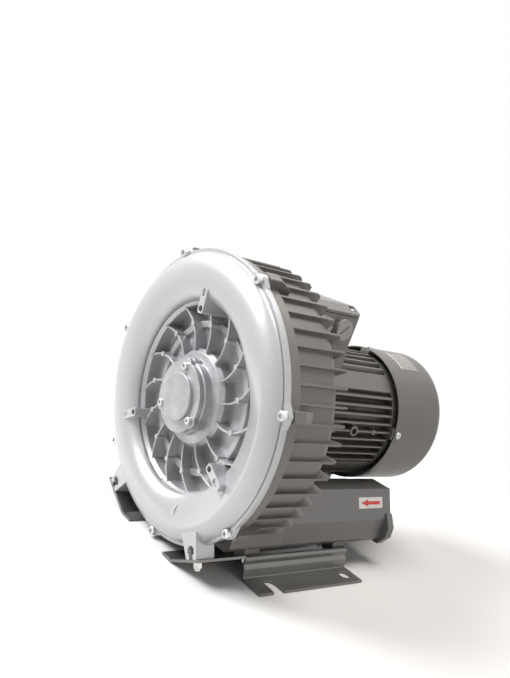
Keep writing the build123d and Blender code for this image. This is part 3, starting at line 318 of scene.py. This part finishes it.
def ring_point(turn, v):
    """The ring: u turns about the shaft; v goes along a half oval from lip to rim underneath
    and back over the front.  Lower right, the inner slope sinks to a cone up to the crease."""
    swing = ring_end * (1 - np.abs(2 * v - 1))
    reach = np.where(swing < pi / 2, ring_reach[0], ring_reach[1])
    radius = ring_middle[0] - reach * np.cos(swing)
    depth = ring_middle[1] - ring_rise * np.sin(swing)
    across, up = radius * np.cos(turn), radius * np.sin(turn)
    scoop = smooth(across, *scoop_across) * (1 - smooth(np.arctan2(up, across), *scoop_turn))
    cone = crease_depth + flat_slope * (crease_radius - radius)
    sunk = np.where(radius < crease_radius, np.maximum(cone - depth, 0.0), 0.0)
    depth = depth + scoop * sunk + np.where(v > 0.5, *ring_skin)
    return across, depth, shaft_height + up


turns = np.linspace(0, 2 * pi, 288, endpoint=False)
ring = surface("cover_ring", turns, np.linspace(0, 1, 80, endpoint=False), ring_point,
               close_u=True, close_v=True)
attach(ring, "casing")
cover_paint.paint("front_cover", "bearing_cap", ring)


# ---- Screws, bolts, nuts and rods ----------------------------------------------------
# Zinc-plated steel, turned and plated in bulk, so each head is bright with a bluish bloom
# and duller patches.
zinc = Finish("zinc_plated_steel", Metallic=1.0)
bloom = zinc.noise(160.0, 4.0)
scuffs = zinc.noise(2200.0, 2.0)
zinc.feed("Base Color", zinc.mix(bloom.above(0.35, 0.7), (0.74, 0.75, 0.78), (0.55, 0.55, 0.52)))
zinc.feed("Roughness", 0.24 + bloom * 0.22)
zinc.bump(scuffs, 0.00003, zinc.rounded(0.0005))
zinc.paint("cover_screws", "bearing_cap_screws", "frame_screws", "end_shield_screws", "cowl_screws",
           "lid_screws", "silencer_rods", "lug_bolts", "lug_nuts", "foot_screws")


# ---- Gaskets and seals ---------------------------------------------------------------
# Pressed fibre sheet, cut to the joint's outline, under the cover and the silencers; a
# moulded rubber cord under the box lid and a rubber lip on the shaft.
fibre = Finish("pressed_fibre", Metallic=0.0)
strands = fibre.noise(900.0, 5.0, 0.7)
fibre.feed("Base Color", fibre.mix(strands, (0.20, 0.17, 0.12), (0.38, 0.33, 0.25)))
fibre.feed("Roughness", 0.8 + strands * 0.15)
fibre.bump(strands, 0.00012)
fibre.paint("cover_gasket", "silencer_gasket_left", "silencer_gasket_right")

rubber = Finish("moulded_rubber", Metallic=0.0)
bloom = rubber.noise(260.0, 4.0)
rubber.feed("Base Color", rubber.mix(bloom, (0.018, 0.018, 0.02), (0.05, 0.05, 0.052)))
rubber.feed("Roughness", 0.55 + bloom * 0.25)
rubber.bump(rubber.noise(2500.0), 0.00004)
rubber.paint("terminal_lid_gasket", "shaft_seal")


# ---- Impeller ------------------------------------------------------------------------
# Bare die-cast aluminium, faced where it runs close to the casings.
cast_metal = Finish("bare_cast_aluminium", Metallic=0.9)
grain = cast_metal.noise(700.0, 5.0, 0.7)
stain = cast_metal.noise(40.0, 3.0)
cast_metal.feed("Base Color", cast_metal.mix(stain, (0.66, 0.66, 0.66), (0.5, 0.5, 0.49)))
cast_metal.feed("Roughness", 0.42 + grain * 0.25)
cast_metal.bump(grain, 0.0001)
cast_metal.paint("impeller", "rotor_cage_rings")


# ---- Shaft and what it carries -------------------------------------------------------
# Turned and ground steel; the tool leaves fine rings round the shaft's axis.
tool_rings = 9000.0                     # radians of ripple to the metre
turned = Finish("turned_steel", Metallic=1.0)
_, along, _ = turned.parts()
rings = (along * tool_rings + turned.noise(90.0) * 2.0).maths("SINE")
turned.feed("Base Color", turned.mix(turned.noise(60.0), (0.6, 0.6, 0.61), (0.47, 0.46, 0.45)))
turned.feed("Roughness", 0.26 + turned.noise(240.0) * 0.14)
turned.bump(rings, 0.000012)
turned.paint("shaft", "impeller_key", "impeller_spacer", "shaft_end_washer", "shaft_end_bolt")

spring = Finish("blued_spring_steel", Metallic=1.0)
heat = spring.noise(90.0, 3.0)
spring.feed("Base Color", spring.mix(heat, (0.16, 0.17, 0.22), (0.3, 0.28, 0.25)))
spring.feed("Roughness", 0.3 + heat * 0.2)
spring.paint("bearing_wave_washer", "fan_clip")

polished = Finish("polished_bearing_steel", Metallic=1.0)
haze = polished.noise(300.0, 3.0)
polished.feed("Base Color", polished.mix(haze, (0.8, 0.8, 0.82), (0.68, 0.68, 0.7)))
polished.feed("Roughness", 0.08 + haze * 0.12)
polished.paint("front_bearing_outer_ring", "front_bearing_inner_ring", "front_bearing_balls",
               "rear_bearing_outer_ring", "rear_bearing_inner_ring", "rear_bearing_balls")


# ---- Motor ---------------------------------------------------------------------------
# The frame and the rear shield are aluminium castings in the housing's paint, with a darker
# painted shade and dust between the fins.  Inside are stacked steel sheets and varnished copper coils.
# The second colour is a near-black painted shade with dust, between the fins.
motor_paint = cast_paint("warm_grey_motor_paint", (0.17, 0.16, 0.15), (0.022, 0.021, 0.02), metallic=0.3,
                         dust_and_shade_reach=(0.066, 0.079))
motor_paint.paint("motor_frame", "rear_end_shield")

sheet_thickness = 0.0005
sheets = Finish("stacked_electrical_sheets", Metallic=0.9)
_, along, _ = sheets.parts()
layers = (along * 2 * pi / sheet_thickness).maths("SINE")
sheets.feed("Base Color", sheets.mix(sheets.noise(80.0), (0.22, 0.22, 0.23), (0.36, 0.35, 0.34)))
sheets.feed("Roughness", 0.45 + sheets.noise(300.0) * 0.2)
sheets.bump(layers, 0.00004)
sheets.paint("stator_core", "rotor_core")

wire_pitch = 0.0009
copper = Finish("varnished_copper_wire", Metallic=0.85, Coat_Weight=0.6, Coat_Roughness=0.15)
across, along, up = copper.parts()
around = (across / (up - shaft_height + 0.0001)).maths("ARCTANGENT")
wires = (along * 2 * pi / wire_pitch + (around * 40.0).maths("SINE") * 3.0).maths("SINE")
copper.feed("Base Color", copper.mix(wires.above(-0.8, 0.6), (0.2, 0.07, 0.02), (0.62, 0.28, 0.12)))
copper.feed("Roughness", 0.3 + copper.noise(200.0) * 0.2)
copper.bump(wires, 0.0002)
copper.paint("stator_windings")


# ---- Fan and fan cowl ----------------------------------------------------------------
# The fan is moulded black plastic.  The cowl is deep-drawn steel sheet in the motor's
# paint, with ventilation slots punched through its back.
plastic = Finish("moulded_black_plastic", Metallic=0.0)
skin = plastic.noise(1200.0, 3.0)
plastic.feed("Base Color", plastic.mix(plastic.noise(60.0), (0.02, 0.02, 0.022), (0.045, 0.045, 0.047)))
plastic.feed("Roughness", 0.45 + skin * 0.2)
plastic.bump(skin, 0.00005)
plastic.paint("cooling_fan", "terminal_block")

# The second colour is painted shade with dust, close to the shaft's axis.
cowl_paint = cast_paint("warm_grey_sheet_paint", (0.145, 0.138, 0.13), (0.07, 0.066, 0.062),
                        metallic=0.3, roughness=0.4, edge=0.0006, dust_and_shade_reach=(0.02, 0.05))
cowl_paint.paint("fan_cowl")


# ---- Blank plate on the cowl ---------------------------------------------------------
# A thin aluminium plate, cut to a rectangle, bent to the round of the cowl, left bare and
# stuck on.  It carries no print.
plate_radius = 0.0864
plate_turn = (radians(59), radians(84))
plate_along = (0.1405, 0.1735)
sheet_rim = 0.001                       # share of a thin sheet's width that bends down as its rim


def on_cowl(angle, along, lift):
    """A point on a circle about the shaft, at that angle, that far along, raised by lift."""
    reach = plate_radius + lift
    return reach * np.cos(angle), along, shaft_height + reach * np.sin(angle)


def sheet_lift(u, v, face, rim):
    """The height of a thin sheet: face all over, but rim where u or v is 0 or 1."""
    edge = np.minimum(np.minimum(u, 1 - u), np.minimum(v, 1 - v))
    return np.where(edge > sheet_rim, face, rim)


def plate_point(u, v):
    """The plate's skin: u goes along the shaft, v round it; the rim drops to the cowl."""
    angle = plate_turn[0] + (plate_turn[1] - plate_turn[0]) * v
    along = plate_along[0] + (plate_along[1] - plate_along[0]) * u
    return on_cowl(angle, along, sheet_lift(u, v, 0.0, -0.0006))


sheet_rows = np.concatenate([[0.0], np.linspace(0.004, 0.996, 33), [1.0]])
plate = surface("blank_plate", sheet_rows, sheet_rows, plate_point)
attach(plate, "casing")
bare_plate = Finish("bare_aluminium_plate", Metallic=0.5)
streaks = bare_plate.noise(500.0, 3.0)
bare_plate.feed("Base Color", bare_plate.mix(streaks, (0.36, 0.345, 0.325), (0.27, 0.26, 0.245)))
bare_plate.feed("Roughness", 0.32 + streaks * 0.18)
bare_plate.bump(streaks, 0.00003)
bare_plate.paint(plate)


# ---- Terminal box --------------------------------------------------------------------
# A cast box and lid in the housing's paint, with moulded plugs in its four cable entries.
# The second colour is painted shade with dust, close to the shaft's axis.
box_paint = cast_paint("warm_grey_box_paint", (0.165, 0.16, 0.155), (0.08, 0.076, 0.072), metallic=0.3,
                       dust_and_shade_reach=(0.09, 0.095))
box_paint.paint("terminal_box", "terminal_lid")

plug = Finish("grey_moulded_plugs", Metallic=0.0)
skin = plug.noise(900.0, 3.0)
plug.feed("Base Color", plug.mix(plug.noise(90.0), (0.33, 0.32, 0.31), (0.42, 0.41, 0.4)))
plug.feed("Roughness", 0.42 + skin * 0.2)
plug.bump(skin, 0.00005, plug.rounded(0.0006))
plug.paint("blanking_plugs")

brass = Finish("tinned_brass", Metallic=1.0)
tarnish = brass.noise(220.0, 3.0)
brass.feed("Base Color", brass.mix(tarnish, (0.75, 0.6, 0.3), (0.52, 0.4, 0.2)))
brass.feed("Roughness", 0.25 + tarnish * 0.25)
brass.paint("terminal_studs", "earth_screw")


# ---- Silencers -----------------------------------------------------------------------
# Two cast aluminium shells under the motor, lined with foam and closed by a cap each.  Four
# long rods clamp cap, shell and gasket to the housing.
# The second colour is painted shade with dust, close to the shaft's axis.
silencer_paint = cast_paint("silver_grey_silencer_paint", (0.15, 0.147, 0.145),
                            (0.08, 0.076, 0.072), metallic=0.3, dust_and_shade_reach=(0.09, 0.1))
silencer_paint.paint("silencer_left", "silencer_right", "silencer_cap_left", "silencer_cap_right")

foam = Finish("open_cell_foam", Metallic=0.0)
cells = foam.node("ShaderNodeTexVoronoi", None, {"Vector": foam.place(), "Scale": 900.0})
foam.feed("Base Color", foam.mix(cells, (0.03, 0.03, 0.032), (0.1, 0.1, 0.105)))
foam.feed("Roughness", 0.85 + cells * 0.1)
foam.bump(cells, 0.0006)
foam.paint("silencer_foam_left", "silencer_foam_right")


# ---- Arrow sticker on the right silencer ---------------------------------------------
# A pale sticker on the upper sloping face with one red arrow that points to the front,
# the way the air leaves; its print is slightly worn.
slope_foot = np.array([0.104, 0.063])
slope_head = np.array([0.088, 0.097])
slope = (slope_head - slope_foot) / np.linalg.norm(slope_head - slope_foot)
face_out = np.array([slope[1], -slope[0]])
sticker_y = (0.0785, 0.1215)
sticker_climb = (0.0138, 0.0274)
tip_inset = 0.004                       # from the sticker's front end to the arrow's tip
head_length, head_slope = 0.0125, 0.36
stem_start, stem_end = 0.0123, 0.034    # from the tip
stem_half_width = 0.0021
ink_edge = 0.0001


def sticker_point(u, v):
    """The sticker's skin on the sloping face: u runs along the shaft, v up the slope."""
    lift = sheet_lift(u, v, 0.00022, -0.00005)
    climb = sticker_climb[0] + (sticker_climb[1] - sticker_climb[0]) * v
    along = sticker_y[0] + (sticker_y[1] - sticker_y[0]) * u
    return (slope_foot[0] + slope[0] * climb + face_out[0] * lift, along,
            slope_foot[1] + slope[1] * climb + face_out[1] * lift)


sticker = surface("arrow_sticker", sheet_rows, sheet_rows, sticker_point)
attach(sticker, "casing")
print_finish = Finish("printed_sticker", Metallic=0.0, Coat_Weight=0.3, Coat_Roughness=0.2)
_, along, up = print_finish.parts()
centre = slope_foot[1] + slope[1] * sum(sticker_climb) / 2
off = ((up - centre) * (1 / slope[1])).size()
from_tip = along - (sticker_y[0] + tip_inset)
head = (from_tip * head_slope - off).above(-ink_edge, ink_edge)
head = head * (head_length - from_tip).above(-ink_edge, ink_edge)
stem = (stem_half_width - off).above(-ink_edge, ink_edge)
stem = stem * from_tip.above(stem_start, head_length) * (stem_end - from_tip).above(-ink_edge, ink_edge)
worn = print_finish.noise(700.0, 4.0).above(0.66, 0.74)
inked = (head + stem).maths("MINIMUM", 1.0) * (1.0 - worn * 0.5)
ground = print_finish.mix(print_finish.noise(120.0), (0.80, 0.79, 0.78), (0.68, 0.66, 0.65))
print_finish.feed("Base Color", print_finish.mix(inked, ground, (0.62, 0.035, 0.04)))
print_finish.feed("Roughness", 0.3 + print_finish.noise(300.0) * 0.2)
print_finish.paint(sticker)


# ---- Feet ----------------------------------------------------------------------------
# Two rails folded from steel sheet and sprayed dark grey; the paint is thin and shows
# the rolling grain, and wear and a painted highlight lighten it along the folds.
foot_paint = cast_paint("dark_grey_sheet_paint", (0.2, 0.197, 0.19), (0.12, 0.118, 0.115),
                        metallic=0.75, roughness=0.28, edge=0.0009, dust_and_shade_reach=(0.02, 0.05))
foot_paint.paint("foot_left", "foot_right")
